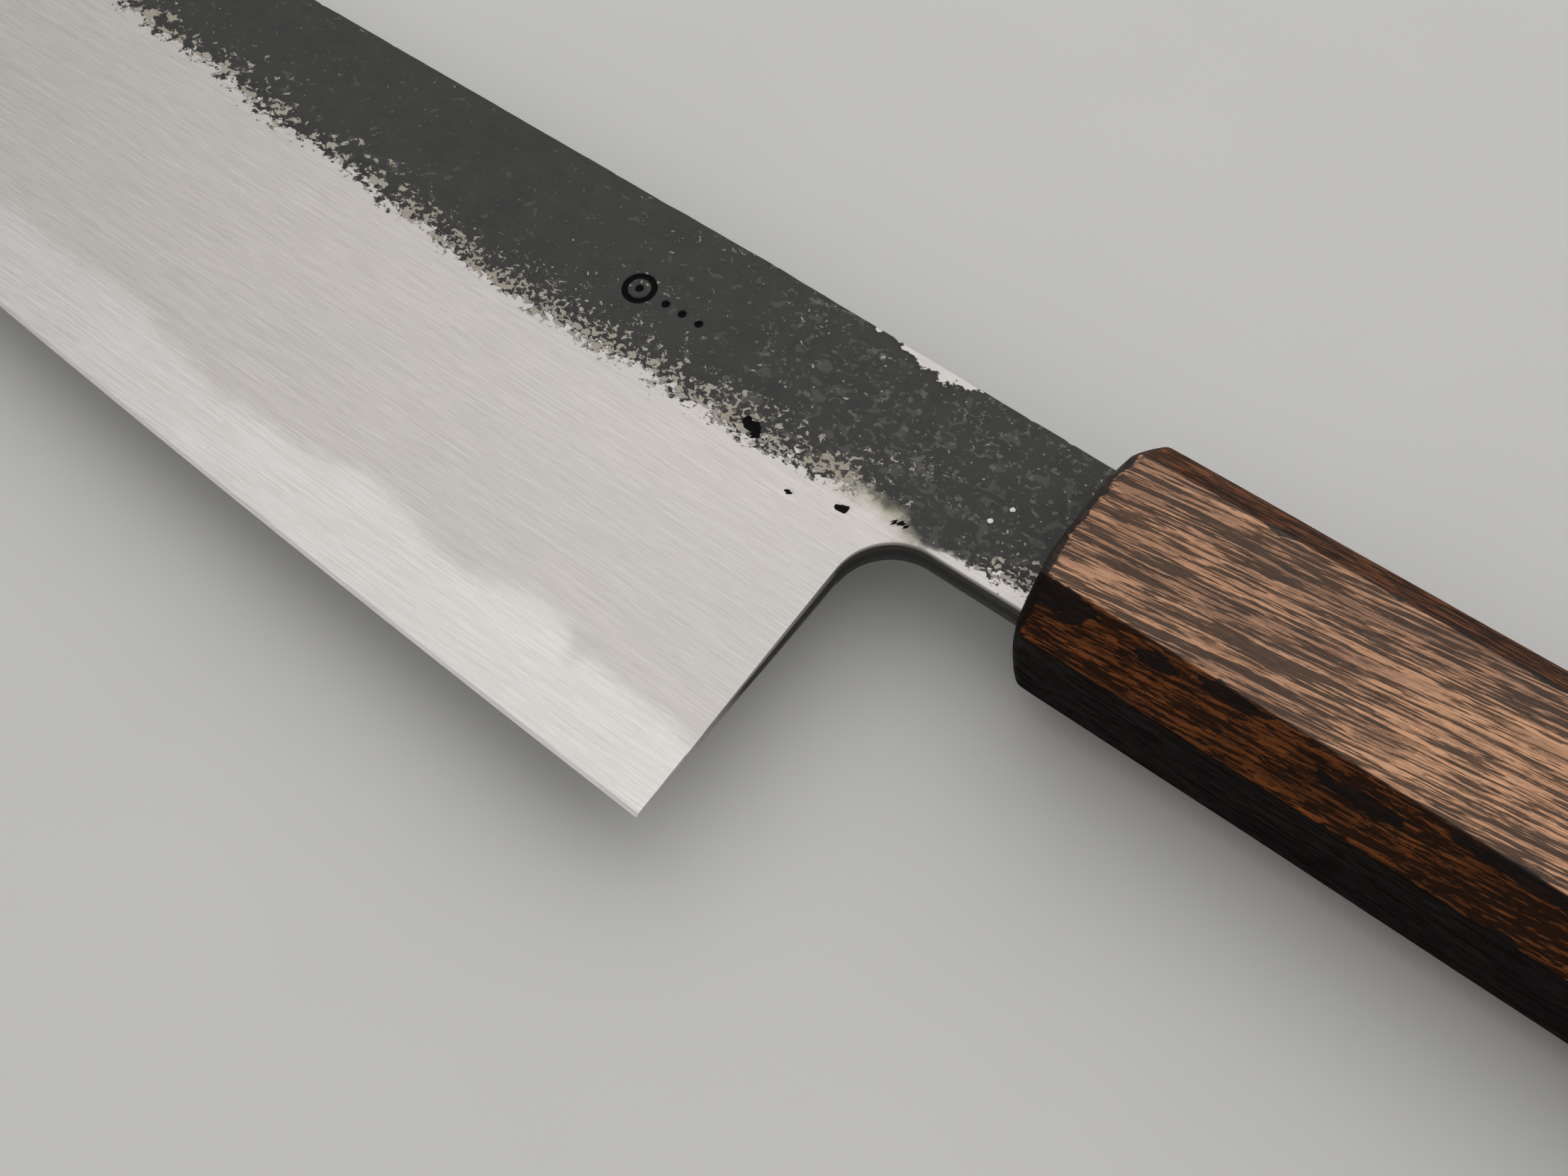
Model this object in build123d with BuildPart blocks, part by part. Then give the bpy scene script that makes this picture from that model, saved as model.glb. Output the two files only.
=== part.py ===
from build123d import *
import os

os.makedirs("parts", exist_ok=True)

# A Japanese style chef's knife (wa-gyuto) with a three-layer forged blade and a one-piece
# octagonal wooden handle, in millimetres. It lies on its side: +X runs to the butt of the
# handle, +Y to the spine and +Z up from the table to the marked face. The origin is the
# bottom centre of the whole knife's box.

# Blade outline. Places along the blade are given as a distance ahead of the heel.
edge_length = 240.0
heel_gap = 16.5  # from the heel line back to the front face of the handle
heel_drop = 43.2  # from the knife's axis down to the edge at the heel
spine_height = 9.3  # from the axis up to the straight part of the spine
neck_spine_height = 8.6  # the spine dips this far down where it meets the handle
spine_dip_start = 25.0
neck_drop = 8.3  # from the axis down to the underside of the neck
choil_radius = 6.0
edge_slope = 0.0283
edge_curve = 0.000176
belly_start = 110.0
spine_drop_start = 107.0
spine_drop = 16.0
spine_drop_power = 2.2
tip_flat = 0.6  # length cut off the point, so that it ends in a small face

# Blade thickness, as half thicknesses from the middle plane.
spine_half = 1.95  # at the heel
tip_half = 0.3
distal_power = 1.15
shoulder_share = 0.33  # how far down the blade the bevel starts
shoulder_thinning = 0.07
edge_bevel_height = 0.4
edge_bevel_half = 0.1
edge_bevel_share = 0.3  # of the blade's height near the point, where it is less than that height

# Core layer between the two claddings. Its half thickness falls towards the point.
core_half = 0.5
core_taper = 0.0015

# Tang inside the handle.
tang_length = 95.0
tang_end_height = 6.5
tang_end_half = 1.2
mortise_clearance = 0.35
mortise_end_space = 3.0
seal_depth = 2.5
seal_border = 0.3

# Octagonal handle, wider and thicker at the butt.
handle_length = 142.3
front_height = 23.4
front_thickness = 18.7
butt_height = 24.6
butt_thickness = 21.2
handle_bevel = 4.3
front_rounding = 1.2
butt_rounding = 1.6

# Places that follow from those sizes.
total_length = edge_length - tip_flat + heel_gap + handle_length
front_x = total_length / 2 - handle_length
heel_x = front_x - heel_gap
butt_x = front_x + handle_length
axis_y = (heel_drop - butt_height / 2) / 2
axis_z = butt_thickness / 2

# The belly is as round as it must be for the edge to meet the spine at the point.
point_rise = heel_drop + spine_height - spine_drop
plain_rise = edge_slope * edge_length + edge_curve * edge_length**2
belly_curve = (point_rise - plain_rise) / (edge_length - belly_start) ** 3


def edge_y(ahead):
    """The cutting edge: nearly straight at the heel, with more belly towards the point."""
    belly = max(0.0, ahead - belly_start)
    rise = edge_slope * ahead + edge_curve * ahead**2 + belly_curve * belly**3
    return axis_y - heel_drop + rise


def spine_y(ahead):
    """The spine: straight, dipping a little at the neck and dropping to the point."""
    back = max(0.0, spine_dip_start - ahead) / (spine_dip_start + heel_gap)
    forward = max(0.0, ahead - spine_drop_start) / (edge_length - spine_drop_start)
    dip = (spine_height - neck_spine_height) * back
    return axis_y + spine_height - dip - spine_drop * forward**spine_drop_power


def blade_half(ahead):
    """Half the thickness of the spine, which falls from the handle to the point."""
    left = 1 - ahead / edge_length
    return tip_half + (spine_half - tip_half) * left**distal_power


# The blade as one forged billet: seven-sided sections from the handle to the point, with
# flat upper faces, ground lower faces and a small bevel at the edge.
stations = [-heel_gap, 0.0, 25.0, 60.0, 95.0, 130.0, 165.0, 195.0, 220.0, 234.0]
stations.append(edge_length - tip_flat)
with BuildPart() as billet:
    for ahead in stations:
        top = spine_y(ahead)
        low = edge_y(max(0.0, ahead))
        half = blade_half(ahead)
        shoulder = top - shoulder_share * (top - low)
        thinning = shoulder_thinning * min(1.0, (ahead + heel_gap) / spine_dip_start)
        shoulder_half = half * (1 - thinning)
        bevel = min(edge_bevel_height, edge_bevel_share * (top - low))
        bevel_half = edge_bevel_half * min(1.0, 2 * half)
        with BuildSketch(Plane.YZ.offset(heel_x - ahead)):
            with BuildLine():
                Polyline(
                    (low, axis_z),
                    (low + bevel, axis_z + bevel_half),
                    (shoulder, axis_z + shoulder_half),
                    (top, axis_z + half),
                    (top, axis_z - half),
                    (shoulder, axis_z - shoulder_half),
                    (low + bevel, axis_z - bevel_half),
                    close=True,
                )
            make_face()
    loft()
    # The choil: everything below the neck and behind the heel is cut away, with a round corner.
    with BuildSketch(Plane.XY):
        with Locations((heel_x, axis_y - neck_drop)):
            Rectangle(2 * heel_gap, 2 * heel_drop, align=(Align.MIN, Align.MAX))
        inner_corner = vertices().group_by(Axis.X)[0].sort_by(Axis.Y)[-1]
        fillet(inner_corner, choil_radius)
    extrude(amount=butt_thickness, mode=Mode.SUBTRACT)
    # The hidden tang tapers from the neck's own section.
    root_middle = (spine_y(-heel_gap) + axis_y - neck_drop) / 2
    root_height = spine_y(-heel_gap) - axis_y + neck_drop
    with BuildSketch(Plane.YZ.offset(front_x)):
        with Locations((root_middle, axis_z)):
            Rectangle(root_height, 2 * blade_half(-heel_gap))
    with BuildSketch(Plane.YZ.offset(front_x + tang_length)):
        with Locations((axis_y, axis_z)):
            Rectangle(tang_end_height, 2 * tang_end_half)
    loft()

# The middle plane of each layer boundary leans in towards the point.
marked_boundary = Plane(
    origin=(heel_x, axis_y, axis_z + core_half),
    x_dir=(1, 0, core_taper),
    z_dir=(-core_taper, 0, 1),
)
plain_boundary = Plane(
    origin=(heel_x, axis_y, axis_z - core_half),
    x_dir=(1, 0, -core_taper),
    z_dir=(core_taper, 0, 1),
)

# Hard steel core: it carries the edge and runs the whole length of the blade and tang.
with BuildPart() as core_steel:
    add(billet.part)
    split(bisect_by=marked_boundary, keep=Keep.BOTTOM)
    split(bisect_by=plain_boundary, keep=Keep.TOP)
core_steel.part.label = "core_steel"
export_step(core_steel.part, "parts/core_steel.step")

# Soft iron cladding on the marked side, which faces up here and is the left of the knife.
with BuildPart() as cladding_left:
    add(billet.part)
    split(bisect_by=marked_boundary, keep=Keep.TOP)
cladding_left.part.label = "cladding_left"
export_step(cladding_left.part, "parts/cladding_left.step")

# Soft iron cladding on the plain side, which faces down here.
with BuildPart() as cladding_right:
    add(billet.part)
    split(bisect_by=plain_boundary, keep=Keep.BOTTOM)
cladding_right.part.label = "cladding_right"
export_step(cladding_right.part, "parts/cladding_right.step")

# The mortise burnt into the handle: the tang's shape with room for the adhesive around it.
mouth_height = root_height + 2 * seal_border
mouth_half = blade_half(-heel_gap) + seal_border
with BuildPart() as mortise:
    with BuildSketch(Plane.YZ.offset(front_x)):
        with Locations((root_middle, axis_z)):
            Rectangle(mouth_height + 2 * seal_border, 2 * mouth_half + 2 * seal_border)
    extrude(amount=seal_depth)
    with BuildSketch(Plane.YZ.offset(front_x + seal_depth)):
        with Locations((root_middle, axis_z)):
            Rectangle(mouth_height, 2 * mouth_half)
    end_half = tang_end_half + mortise_clearance
    with BuildSketch(Plane.YZ.offset(front_x + tang_length + mortise_end_space)):
        with Locations((axis_y, axis_z)):
            Rectangle(tang_end_height + 2 * mortise_clearance, 2 * end_half)
    loft()

# One-piece octagonal handle with flat facets, eased ends and the mortise in its front.
with BuildPart() as handle_body:
    with BuildSketch(Plane.XY):
        with BuildLine():
            Polyline(
                (front_x, axis_y - front_height / 2),
                (butt_x, axis_y - butt_height / 2),
                (butt_x, axis_y + butt_height / 2),
                (front_x, axis_y + front_height / 2),
                close=True,
            )
        make_face()
    extrude(amount=butt_thickness)
    with BuildSketch(Plane.XZ.offset(-axis_y)):
        with BuildLine():
            Polyline(
                (front_x, axis_z - front_thickness / 2),
                (butt_x, axis_z - butt_thickness / 2),
                (butt_x, axis_z + butt_thickness / 2),
                (front_x, axis_z + front_thickness / 2),
                close=True,
            )
        make_face()
    extrude(amount=butt_height, both=True, mode=Mode.INTERSECT)
    chamfer(edges().group_by(SortBy.LENGTH)[-1], handle_bevel)
    chamfer(faces().sort_by(Axis.X)[0].edges(), front_rounding)
    chamfer(faces().sort_by(Axis.X)[-1].edges(), butt_rounding)
    add(mortise.part, mode=Mode.SUBTRACT)
handle_body.part.label = "handle_body"
export_step(handle_body.part, "parts/handle_body.step")

# Dark resin bead that closes the mouth of the mortise around the neck.
with BuildPart() as neck_seal:
    add(mortise.part)
    split(bisect_by=Plane.YZ.offset(front_x + seal_depth), keep=Keep.BOTTOM)
    add(billet.part, mode=Mode.SUBTRACT)
neck_seal.part.label = "neck_seal"
export_step(neck_seal.part, "parts/neck_seal.step")

# Adhesive that fills the rest of the mortise around the tang.
with BuildPart() as tang_adhesive:
    add(mortise.part)
    split(bisect_by=Plane.YZ.offset(front_x + seal_depth), keep=Keep.TOP)
    add(billet.part, mode=Mode.SUBTRACT)
tang_adhesive.part.label = "tang_adhesive"
export_step(tang_adhesive.part, "parts/tang_adhesive.step")
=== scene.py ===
import math

import bmesh
import bpy
import numpy as np
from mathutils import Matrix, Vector


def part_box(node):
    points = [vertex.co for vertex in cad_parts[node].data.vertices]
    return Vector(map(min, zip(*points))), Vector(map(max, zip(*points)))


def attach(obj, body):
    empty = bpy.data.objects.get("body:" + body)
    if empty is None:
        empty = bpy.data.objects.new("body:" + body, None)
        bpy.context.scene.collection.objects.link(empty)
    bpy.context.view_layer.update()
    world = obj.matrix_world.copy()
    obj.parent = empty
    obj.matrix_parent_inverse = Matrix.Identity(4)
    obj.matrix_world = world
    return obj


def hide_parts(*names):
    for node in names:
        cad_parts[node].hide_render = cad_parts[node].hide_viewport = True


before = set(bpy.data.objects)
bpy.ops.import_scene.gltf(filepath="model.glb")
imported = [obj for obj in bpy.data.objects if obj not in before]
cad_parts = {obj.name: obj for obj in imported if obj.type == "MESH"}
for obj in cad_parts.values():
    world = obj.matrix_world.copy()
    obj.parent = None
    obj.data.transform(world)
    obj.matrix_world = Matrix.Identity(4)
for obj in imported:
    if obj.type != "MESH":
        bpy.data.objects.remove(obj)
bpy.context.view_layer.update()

# A forged three-layer chef's knife. Shapes are worked out in millimetres from the knife's own
# reference: "ahead" is the distance ahead of the heel, towards the point, "height" is measured
# from the knife's axis towards the spine, and "out" from the blade's middle plane.
MM = 0.001
handle_low, handle_high = [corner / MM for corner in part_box("handle_body")]
core_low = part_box("core_steel")[0] / MM
front_x = handle_low.x
butt_x = handle_high.x
axis_y = (handle_low.y + handle_high.y) / 2
axis_z = (handle_low.z + handle_high.z) / 2

# Blade outline, as in the CAD model.
heel_gap = 16.5
heel_x = front_x - heel_gap
tip_ahead = heel_x - core_low.x
edge_length = 240.0
heel_drop = axis_y - core_low.y
spine_height = 9.3
neck_spine_height = 8.6
spine_dip_start = 25.0
neck_drop = 8.3
choil_radius = 6.0
edge_slope = 0.0283
edge_curve = 0.000176
belly_start = 110.0
spine_drop_start = 107.0
spine_drop = 16.0
spine_drop_power = 2.2
point_rise = heel_drop + spine_height - spine_drop
plain_rise = edge_slope * edge_length + edge_curve * edge_length**2
belly_curve = (point_rise - plain_rise) / (edge_length - belly_start) ** 3

# Blade thickness, tang and mortise, as in the CAD model.
spine_half = 1.95
tip_half = 0.3
distal_power = 1.15
shoulder_share = 0.33
shoulder_thinning = 0.07
edge_bevel_height = 0.4
edge_bevel_half = 0.1
edge_bevel_share = 0.3
rim_radius = 0.18
core_half = 0.5
core_taper = 0.0015
tang_length = 95.0
tang_end_height = 6.5
tang_end_half = 1.2
mortise_clearance = 0.35
mortise_end_space = 3.0
seal_depth = 2.5
seal_border = 0.3

# Handle, as in the CAD model.
handle_length = butt_x - front_x
front_height = 23.4
front_thickness = 18.7
butt_height = 24.6
butt_thickness = 21.2
handle_bevel = 4.3
front_rounding = 1.2
butt_rounding = 1.6
front_dome = 0.75
facet_softness = 0.55
pore_depth = 0.075


# ---- Numbers and noise ----


def smooth(low, high, value):
    """0 below low, 1 above high and an even ramp between."""
    share = np.clip((value - low) / (high - low), 0.0, 1.0)
    return share * share * (3 - 2 * share)


def lattice(ix, iy, iz, seed):
    """A fixed random number from -1 to 1 for each point of a whole-number lattice."""
    h = ix * 374761393 + iy * 668265263 + iz * 1442695041 + seed * 974634777
    h = h.astype(np.uint64) & np.uint64(0xFFFFFFFF)
    h = ((h ^ (h >> np.uint64(13))) * np.uint64(1274126177)) & np.uint64(0xFFFFFFFF)
    h = ((h ^ (h >> np.uint64(16))) * np.uint64(2246822519)) & np.uint64(0xFFFFFFFF)
    h = h ^ (h >> np.uint64(13))
    return h.astype(np.float64) / 2147483647.5 - 1.0


def noise(x, y, z, seed):
    """Smooth value noise with features about one unit across."""
    x, y, z = np.broadcast_arrays(x, y, z)
    x0, y0, z0 = np.floor(x), np.floor(y), np.floor(z)
    fx, fy, fz = [smooth(0.0, 1.0, a - b) for a, b in ((x, x0), (y, y0), (z, z0))]
    ix, iy, iz = [a.astype(np.int64) + 100000 for a in (x0, y0, z0)]
    total = np.zeros(x.shape)
    for dx, wx in ((0, 1 - fx), (1, fx)):
        for dy, wy in ((0, 1 - fy), (1, fy)):
            for dz, wz in ((0, 1 - fz), (1, fz)):
                total += wx * wy * wz * lattice(ix + dx, iy + dy, iz + dz, seed)
    return total


def layers(x, y, z, seed, octaves=3, gain=0.5):
    """Noise with finer and finer layers on top, from about -1 to 1."""
    total, weight, reach = 0.0, 1.0, 0.0
    for octave in range(octaves):
        total = total + weight * noise(x, y, z, seed + 17 * octave)
        reach += weight
        weight *= gain
        x, y, z = x * 2.03, y * 2.03, z * 2.03
    return total / reach * 1.6


# ---- Mesh building ----


def add_object(name, data):
    """A new object in the scene."""
    made = bpy.data.objects.new(name, data)
    bpy.context.scene.collection.objects.link(made)
    return made


class Shell:
    """Collects points, faces and per-point values in millimetres and makes the mesh piece."""

    def __init__(self, *channels):
        self.points, self.faces, self.count = [], [], 0
        self.values = {name: [] for name in channels}

    def grid(self, points, **values):
        """Adds an array of points and returns their numbers in the same arrangement."""
        shape = points.shape[:-1]
        size = int(np.prod(shape))
        self.points.append(points.reshape(-1, 3))
        for name, rows in self.values.items():
            value = np.broadcast_to(values.get(name, 0.0), shape)
            rows.append(np.asarray(value, float).reshape(-1))
        numbers = np.arange(self.count, self.count + size).reshape(shape)
        self.count += size
        return numbers

    def quads(self, numbers):
        """Faces between neighbouring rows and columns of an array of point numbers."""
        a, b = numbers[:-1, :-1].ravel(), numbers[1:, :-1].ravel()
        c, d = numbers[1:, 1:].ravel(), numbers[:-1, 1:].ravel()
        self.faces.extend(np.stack((a, b, c, d), axis=1).tolist())

    def strip(self, first, second):
        """Faces between two lines of point numbers."""
        self.quads(np.stack([first, second], axis=1))

    def polygon(self, *paths):
        """One face round paths of point numbers, leaving out points that repeat."""
        ring = dict.fromkeys(int(number) for path in paths for number in path)
        self.faces.append(list(ring))

    def wall(self, outer, inner, steps, **values):
        """Faces between two lines of points, with rows of points between them."""
        points = np.concatenate(self.points)
        rows = [outer]
        for step in range(1, steps):
            share = step / steps
            between = points[outer] * (1 - share) + points[inner] * share
            rows.append(self.grid(between, **values))
        numbers = np.stack(rows + [inner], axis=1)
        self.quads(numbers)
        return numbers

    def piece(self, name, sharp_degrees=38.0):
        """The finished mesh object in metres, smooth except at sharp edges."""
        mesh = bpy.data.meshes.new(name)
        points = np.concatenate(self.points) * MM
        mesh.from_pydata(points.tolist(), [], self.faces)
        for channel, rows in self.values.items():
            layer = mesh.attributes.new(channel, "FLOAT", "POINT")
            layer.data.foreach_set("value", np.concatenate(rows).astype(np.float32))
        shape = bmesh.new()
        shape.from_mesh(mesh)
        bmesh.ops.recalc_face_normals(shape, faces=shape.faces)
        shape.to_mesh(mesh)
        shape.free()
        mesh.shade_smooth()
        mesh.set_sharp_from_angle(angle=math.radians(sharp_degrees))
        mesh.update()
        return add_object(name, mesh)


# ---- Blade shape ----


def edge_height(ahead):
    """The cutting edge."""
    ahead = np.maximum(ahead, 0.0)
    belly = np.maximum(ahead - belly_start, 0.0)
    return -heel_drop + edge_slope * ahead + edge_curve * ahead**2 + belly_curve * belly**3


def tang_share(ahead):
    """0 as far back as the handle's front, 1 at the end of the tang."""
    return np.clip((-heel_gap - ahead) / tang_length, 0.0, 1.0)


def top_height(ahead):
    """The spine, and the tang's upper side."""
    back = np.clip((spine_dip_start - ahead) / (spine_dip_start + heel_gap), 0.0, 1.0)
    forward = np.maximum(ahead - spine_drop_start, 0.0) / (edge_length - spine_drop_start)
    dip = (spine_height - neck_spine_height) * back
    height = spine_height - dip - spine_drop * forward**spine_drop_power
    share = tang_share(ahead)
    return height * (1 - share) + tang_end_height / 2 * share


def spine_thickness(ahead):
    """Half the thickness at the spine, and of the tang."""
    left = 1 - np.clip(ahead, -heel_gap, edge_length) / edge_length
    half = tip_half + (spine_half - tip_half) * left**distal_power
    share = tang_share(ahead)
    return half * (1 - share) + tang_end_half * share


def guide_height(ahead):
    """The line that splits the blade's upper grid from its lower one: level with the start of
    the choil's curve ahead of the heel, and the underside of neck and tang behind it."""
    top = top_height(ahead)
    heel_share = (top_height(0.0) + neck_drop + choil_radius) / (top_height(0.0) + heel_drop)
    blade = top - heel_share * (top - edge_height(ahead))
    along = np.clip(ahead + choil_radius, 0.0, choil_radius)
    arc = -neck_drop - choil_radius + np.sqrt(choil_radius**2 - along**2)
    share = tang_share(ahead)
    rear = arc * (1 - share) - tang_end_height / 2 * share
    return np.where(ahead >= 0, blade, rear)


def rear_distance(ahead, height):
    """Distance into the steel from the heel line, the choil and the underside of the neck."""
    under = -neck_drop * (1 - tang_share(ahead)) - tang_end_height / 2 * tang_share(ahead)
    across = np.maximum(ahead + choil_radius, 0.0)
    above = np.maximum(height - under + choil_radius, 0.0)
    return np.hypot(across, above) - choil_radius


def core_boundary(ahead):
    """Half the thickness of the core where the claddings cover it."""
    return core_half - core_taper * ahead


def ease(distance, radius):
    """How far a rounded rim of that radius lies below the flat at a distance from it."""
    inside = radius - np.clip(distance, 0.0, radius)
    return radius - np.sqrt(np.maximum(radius**2 - inside**2, 0.0))


def ground_lines(ahead):
    """Heights of spine, edge, shoulder and small bevel, and the bevel's half thickness."""
    top, low = top_height(ahead), edge_height(ahead)
    shoulder = top - shoulder_share * (top - low)
    bevel = np.minimum(edge_bevel_height, edge_bevel_share * (top - low))
    bevel_out = edge_bevel_half * np.minimum(1.0, 2 * spine_thickness(ahead))
    return top, low, shoulder, bevel, bevel_out


def half_thickness(ahead, height):
    """Half the blade's thickness with its bevels and rounded rims."""
    top, low, shoulder, bevel, bevel_out = ground_lines(ahead)
    half = spine_thickness(ahead)
    thinning = shoulder_thinning * np.clip((ahead + heel_gap) / spine_dip_start, 0.0, 1.0)
    shoulder_out = half * (1 - thinning)
    upper = shoulder_out + (half - shoulder_out) * (height - shoulder) / (top - shoulder)
    ground_share = (height - low - bevel) / (shoulder - low - bevel)
    ground = bevel_out + (shoulder_out - bevel_out) * ground_share
    blend = 0.06 * half
    face = (upper + ground - np.sqrt((upper - ground) ** 2 + blend**2)) / 2
    sharp = bevel_out * (height - low) / bevel
    out = np.where(ahead < -heel_gap, half, np.minimum(face, np.maximum(sharp, 0.0)))
    radius = np.minimum(rim_radius, 0.6 * np.abs(out - core_boundary(ahead)))
    radius = np.minimum(radius, 0.35 * out)
    return out - ease(top - height, radius) - ease(rear_distance(ahead, height), radius)


def lobe(ahead, middle, width, rise):
    """A smooth local rise or dip of a line."""
    return rise * np.exp(-(((ahead - middle) / width) ** 2))


def weld_height(ahead, seed, lobes=()):
    """The wavy line where the forge weld comes out of the ground face: cladding above it and
    core below."""
    top, low, shoulder, bevel, bevel_out = ground_lines(ahead)
    ground = (spine_thickness(ahead) * (1 - shoulder_thinning) - bevel_out) / (shoulder - low - bevel)
    level = low + bevel + (core_boundary(ahead) - bevel_out) / ground
    wave = 0.9 * layers(ahead / 13.0, 0.5, 0.5, seed) + 0.25 * noise(ahead / 2.1, 0.5, 0.5, seed)
    for middle, width, rise in lobes:
        wave = wave + lobe(ahead, middle, width, rise)
    return level + wave * np.clip((top - low) / 30.0, 0.0, 1.0) ** 1.5


def places(*stops):
    """Places from stop to stop, where each stop is (place, spacing up to the next stop)."""
    spans = []
    for (start, spacing), (end, _) in zip(stops[:-1], stops[1:]):
        count = max(1, round(abs(end - start) / spacing))
        spans.append(np.linspace(start, end, count, endpoint=False))
    return np.concatenate(spans + [np.array([stops[-1][0]])])


# Places along the blade, closer together at the choil's curve, the stamp and the point.
tang_back = -heel_gap - tang_length
point_front = tip_ahead
arc_angles = np.linspace(math.pi / 2, 0.0, 24, endpoint=False)
arc_ahead = -choil_radius + choil_radius * np.cos(arc_angles)
rear_ahead = places((tang_back, 8.0), (-heel_gap, 0.3), (-choil_radius - 0.2, 0.3))
rim_ahead = places((0.0, 0.04), (0.12, 0.07), (0.4, 0.28), (25.4, 0.12), (38.2, 0.38), (115.0, 1.0))
fore_ahead = places((116.0, 1.0), (230.0, 0.4), (point_front, 0.4))
blade_ahead = np.concatenate([rim_ahead, fore_ahead])
all_ahead = np.concatenate([rear_ahead, arc_ahead, blade_ahead])
heel_column = len(rear_ahead) + len(arc_ahead)
# Where the flat faces bend, as a share of the way up from the weld line to the guide line.
bend_share = 0.35

# Rows across the blade as (distance down from the spine, share of the height, distance up from
# the guide line), with close rows on the rounded rims and at the stamp.
rim_steps = (0.0, 0.03, 0.08, 0.15, 0.24, 0.35)
rim_band = rim_steps[-1]
middle_rows = places((0.0, 0.0125), (0.33, 0.0048), (0.52, 0.0115), (1.0, 0.0115))
guide_rows = [(step, 0.0, 0.0) for step in rim_steps[:-1]]
guide_rows += [(rim_band, share, 0.0) for share in middle_rows]
guide_rows += [(rim_band, 1.0, rim_band - step) for step in rim_steps[-2::-1]]


def upper_heights(ahead):
    """Heights of the rows from the spine to the guide line, one column for each place."""
    down, share, up = [np.array(column)[None, :] for column in zip(*guide_rows)]
    top = top_height(ahead)[:, None]
    span = top - guide_height(ahead)[:, None]
    scale = np.minimum(1.0, span / 3.0)
    return top - scale * down - share * (span - 2 * scale * rim_band) - scale * up


def lower_heights(ahead, end, count):
    """Heights of the rows from the guide line to another line."""
    share = np.linspace(0.0, 1.0, count)[None, :]
    start = guide_height(ahead)[:, None]
    return start + share * (end[:, None] - start)


# Depth of the small hammer marks and nicks along the spine, at each place.
wear_seed = 11
wear_marks = 0.06 * (1 + layers(all_ahead / 5.0, 0.5, 0.5, wear_seed))
wear_nicks = 0.17 * smooth(0.3, 0.85, noise(all_ahead / 1.1, 0.5, 0.5, wear_seed + 3))
rim_wear = (wear_marks + wear_nicks) * smooth(-heel_gap - 1.0, -heel_gap + 3.0, all_ahead)


def place(ahead, height, out):
    """Blade coordinates to the model's frame, in millimetres."""
    ahead, height, out = np.broadcast_arrays(ahead, height, out)
    return np.stack([heel_x - ahead, axis_y + height, axis_z + out], axis=-1)


# ---- Forged surface ----

# The stamp on the marked face is plain: a ring with a centre dot and a row of three dots.
stamp_height = -0.5
ring_ahead = 35.0
ring_radius = 1.5
dot_places = (31.6, 29.5, 27.4)
dot_radius = 0.42
stroke_half = 0.3
stamp_depth = 0.26
pit_depth = 0.12
# Where the scale's limit starts to rise, and from where it follows the spine.
rise_start = 47.0
follow_start = 104.0


def stamp_cut(ahead, height):
    """1 inside the stamp's strokes and 0 outside."""
    reach = np.hypot(ahead - ring_ahead, height - stamp_height)
    gap = np.minimum(np.abs(reach - ring_radius) - stroke_half, reach - dot_radius)
    for dot in dot_places:
        gap = np.minimum(gap, np.hypot(ahead - dot, height - stamp_height) - dot_radius)
    return 1 - smooth(-0.1, 0.1, gap)


def scale_line(ahead, side):
    """Height of the lower limit of the forge scale, before its ragged detail."""
    band = -8.3 + 0.085 * np.maximum(ahead - rise_start, 0.0)
    band = band + 0.9 * np.clip(1 - ahead / rise_start, 0.0, 1.0) * smooth(-6.0, 2.0, ahead)
    band = band + lobe(ahead, 1.0, 4.5, 1.6 if side > 0 else 0.6)
    neck = smooth(4.0, 8.0, -ahead)
    band = band * (1 - neck) + (-7.1 + 0.5 * smooth(10.0, 16.0, -ahead)) * neck
    # Towards the point the band narrows with the blade.
    far = np.clip((ahead - follow_start) / (edge_length - follow_start), 0.0, 1.0)
    width = 11.15 * (1 - far) ** 0.9 + 1.6
    return np.where(ahead > follow_start, top_height(ahead) - width, band)


def scraped(ahead, height, middle, length, depth):
    """Distance outside a ragged scraped patch on the spine's rim."""
    reach = depth * (1 - np.clip(np.abs(ahead - middle) / length, 0.0, 1.5) ** 2)
    rag = 0.62 * layers(ahead / 1.0, height / 0.7, 0.5, 71) - 0.1
    return reach + rag - (top_height(ahead) - height)


# Small spots where the scale has come off, and torn pits, as (ahead, height, radius).
bare_spots = ((-8.6, -2.4, 0.3), (-9.6, -0.3, 0.27), (12.3, 8.9, 0.35))
torn_pits = ((15.7, -6.8, 0.75), (15.0, -7.3, 0.5), (16.5, -6.5, 0.5), (8.6, -10.5, 0.36))
torn_pits += ((3.1, -8.9, 0.42), (3.7, -9.1, 0.32))
torn_pits += ((-1.5, -7.5, 0.3), (-2.1, -7.2, 0.3), (-2.7, -7.3, 0.26))


def scale_field(ahead, height, seed, side):
    """Millimetres above the torn limit of the forge scale: negative on bare ground steel."""
    line = scale_line(ahead, side)
    coarse = 0.7 * layers(ahead / 3.6, height / 2.6, 0.5, seed)
    torn = 0.6 * layers(ahead / 1.0, height / 0.95, 0.5, seed + 5)
    calm = 1 - 0.75 * smooth(-3.0, -6.5, ahead)
    field = height - line + (coarse + torn) * calm
    if side > 0:
        field = np.minimum(field, -3.0 * scraped(ahead, height, 4.8, 5.7, 1.4))
        for at, up, radius in bare_spots:
            gap = np.hypot(ahead - at, height - up) - radius
            field = np.minimum(field, 16 * gap)
    else:
        field = np.minimum(field, -3.0 * scraped(ahead, height, 52.0, 4.0, 0.5))
    return field


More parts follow.
